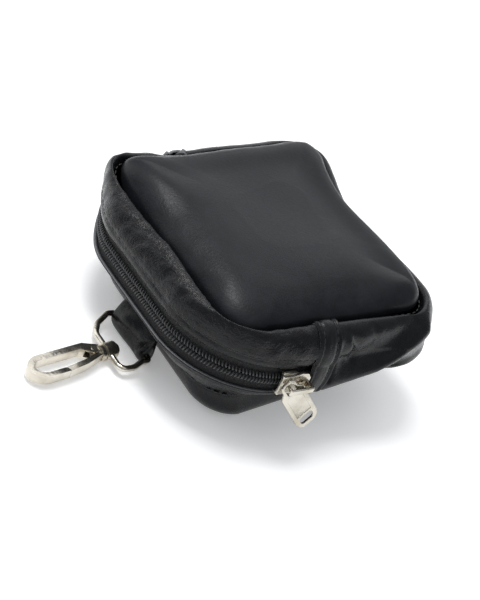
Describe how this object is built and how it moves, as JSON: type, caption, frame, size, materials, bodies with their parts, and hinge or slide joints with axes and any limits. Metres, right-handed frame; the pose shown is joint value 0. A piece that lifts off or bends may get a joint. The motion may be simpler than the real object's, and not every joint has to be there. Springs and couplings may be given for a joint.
{
  "type": "coin purse",
  "caption": "Square soft leather coin purse with a zip round one end, a short strap, a swivel loop and a sprung snap hook.",
  "frame": {"origin": "centre of the face of the back panel that the purse rests on", "axes": "+Z out of the front panel, -Y towards the side with the strap, +X towards the side where the zip closes"},
  "size_m": [0.1147, 0.1443, 0.0512],
  "materials": {
    "leather": "smooth semi-gloss black",
    "lining": "woven black",
    "zip_tape": "woven black",
    "zip_teeth": "satin black nylon",
    "thread": "waxed black",
    "hook_metal": "polished nickel, warm",
    "slider_metal": "polished nickel",
    "spring_steel": "drawn wire"
  },
  "bodies": {
    "purse": {"front_panel": "leather", "back_panel": "leather", "zip_gusset_front": "leather", "zip_gusset_back": "leather", "plain_gusset": "leather", "end_tab_right": "leather", "end_tab_left": "leather", "zip_tape_front": "zip_tape", "zip_tape_back": "zip_tape", "zip_teeth_front": "zip_teeth", "zip_teeth_back": "zip_teeth", "front_lining": "lining", "back_lining": "lining", "gusset_lining": "lining", "front_seam_thread": "thread", "back_seam_thread": "thread", "zip_thread_front": "thread", "zip_thread_back": "thread", "tab_threads": "thread"},
    "strap": {"strap": "leather", "strap_threads": "thread"},
    "loop": {"swivel_loop": "hook_metal"},
    "hook": {"hook_body": "hook_metal", "gate_pin": "hook_metal", "gate_spring": "spring_steel"},
    "gate": {"hook_gate": "hook_metal"},
    "slider": {"slider_body": "slider_metal", "slider_cap": "slider_metal", "lock_spring": "spring_steel"},
    "puller": {"puller": "slider_metal"}
  },
  "joints": [
    {"name": "strap_flex", "type": "hinge", "parent": "purse", "child": "strap", "pos_m": [0, -0.04065, 0.012], "axis": [-1, 0, 0], "range_deg": [-10, 25]},
    {"name": "loop_swing", "type": "hinge", "parent": "strap", "child": "loop", "pos_m": [0, -0.0414, 0.0032], "axis": [-1, 0, 0], "range_deg": [-95, 35]},
    {"name": "hook_swivel", "type": "hinge", "parent": "loop", "child": "hook", "pos_m": [0.0052, -0.0543, 0.0032], "axis": [0.165, -0.9863, 0], "continuous": true},
    {"name": "gate_hinge", "type": "hinge", "parent": "hook", "child": "gate", "pos_m": [0.00496, -0.06073, 0.0032], "axis": [0, 0, -1], "range_deg": [0, 18], "stiffness_Nm_per_rad": 0.002, "springref_deg": -11.46},
    {"name": "slider_travel", "type": "hinge", "parent": "purse", "child": "slider", "pos_m": [0.0173, -0.0186, 0.02705], "axis": [0, 0, 1], "range_deg": [-90, 0]},
    {"name": "puller_swing", "type": "hinge", "parent": "slider", "child": "puller", "pos_m": [0.05355, -0.0218, 0.02705], "axis": [1, 0, 0], "range_deg": [-130, 0]}
  ]
}
